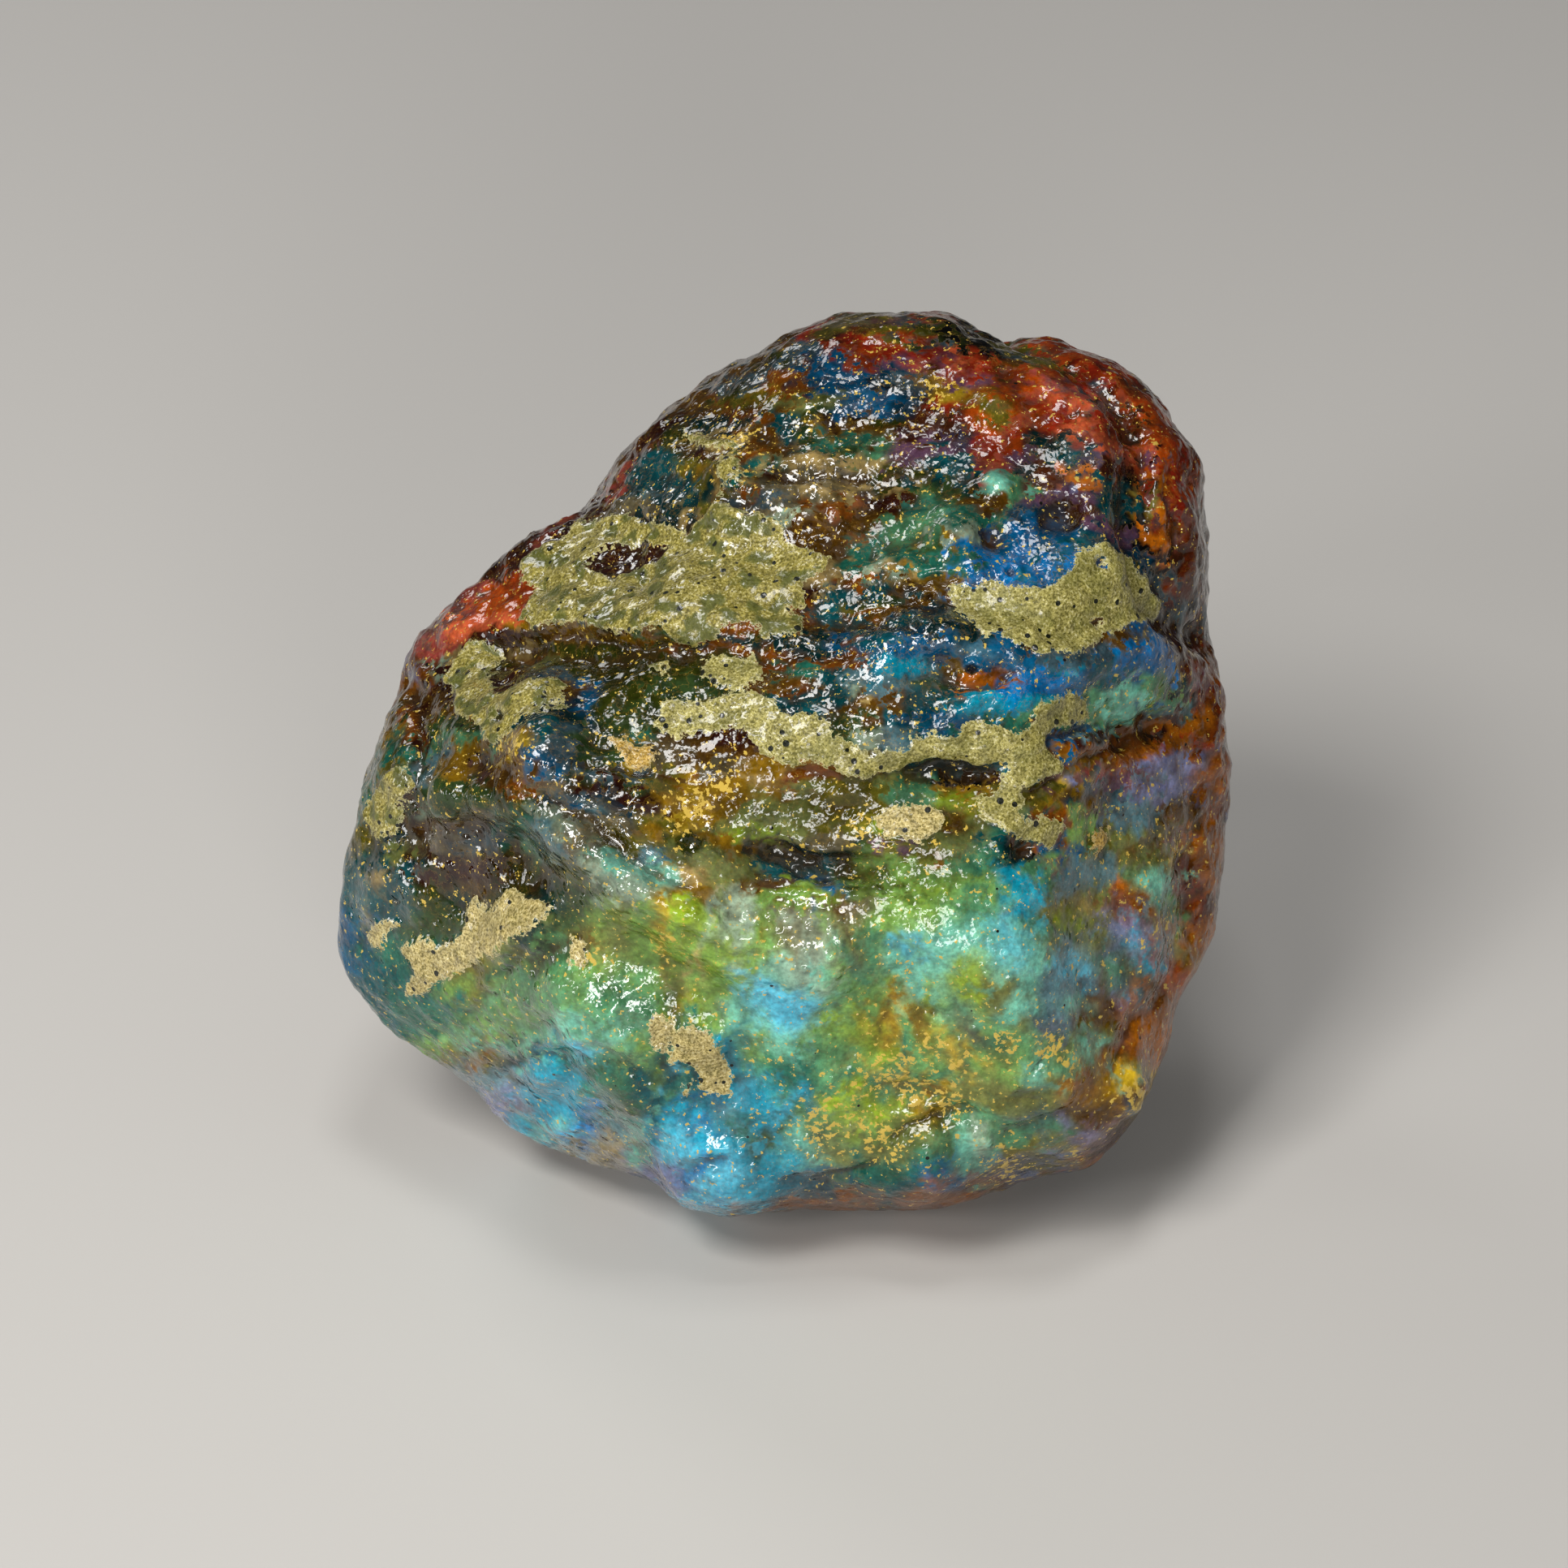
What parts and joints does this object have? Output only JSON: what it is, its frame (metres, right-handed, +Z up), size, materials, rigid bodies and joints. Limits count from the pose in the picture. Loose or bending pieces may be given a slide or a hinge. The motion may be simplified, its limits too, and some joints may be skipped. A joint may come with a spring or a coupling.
{
  "type": "blue amber nugget",
  "caption": "Rough water-worn amber nugget with folds, a ledge, a grooved crown and pits; decorative and rests on its small flat spot.",
  "frame": {"origin": "centre of the stone's box at the height of the flat spot it rests on", "axes": "+X to the right across the broad face, +Y from the broad face to the back, +Z up with the stone resting"},
  "size_m": [0.0586, 0.0474, 0.0543],
  "materials": {
    "amber": "wet-looking gloss over cloudy see-through resin, blue and green with orange-red edges and matt olive crust"
  },
  "bodies": {
    "root": {"nugget": "amber"}
  },
  "joints": []
}
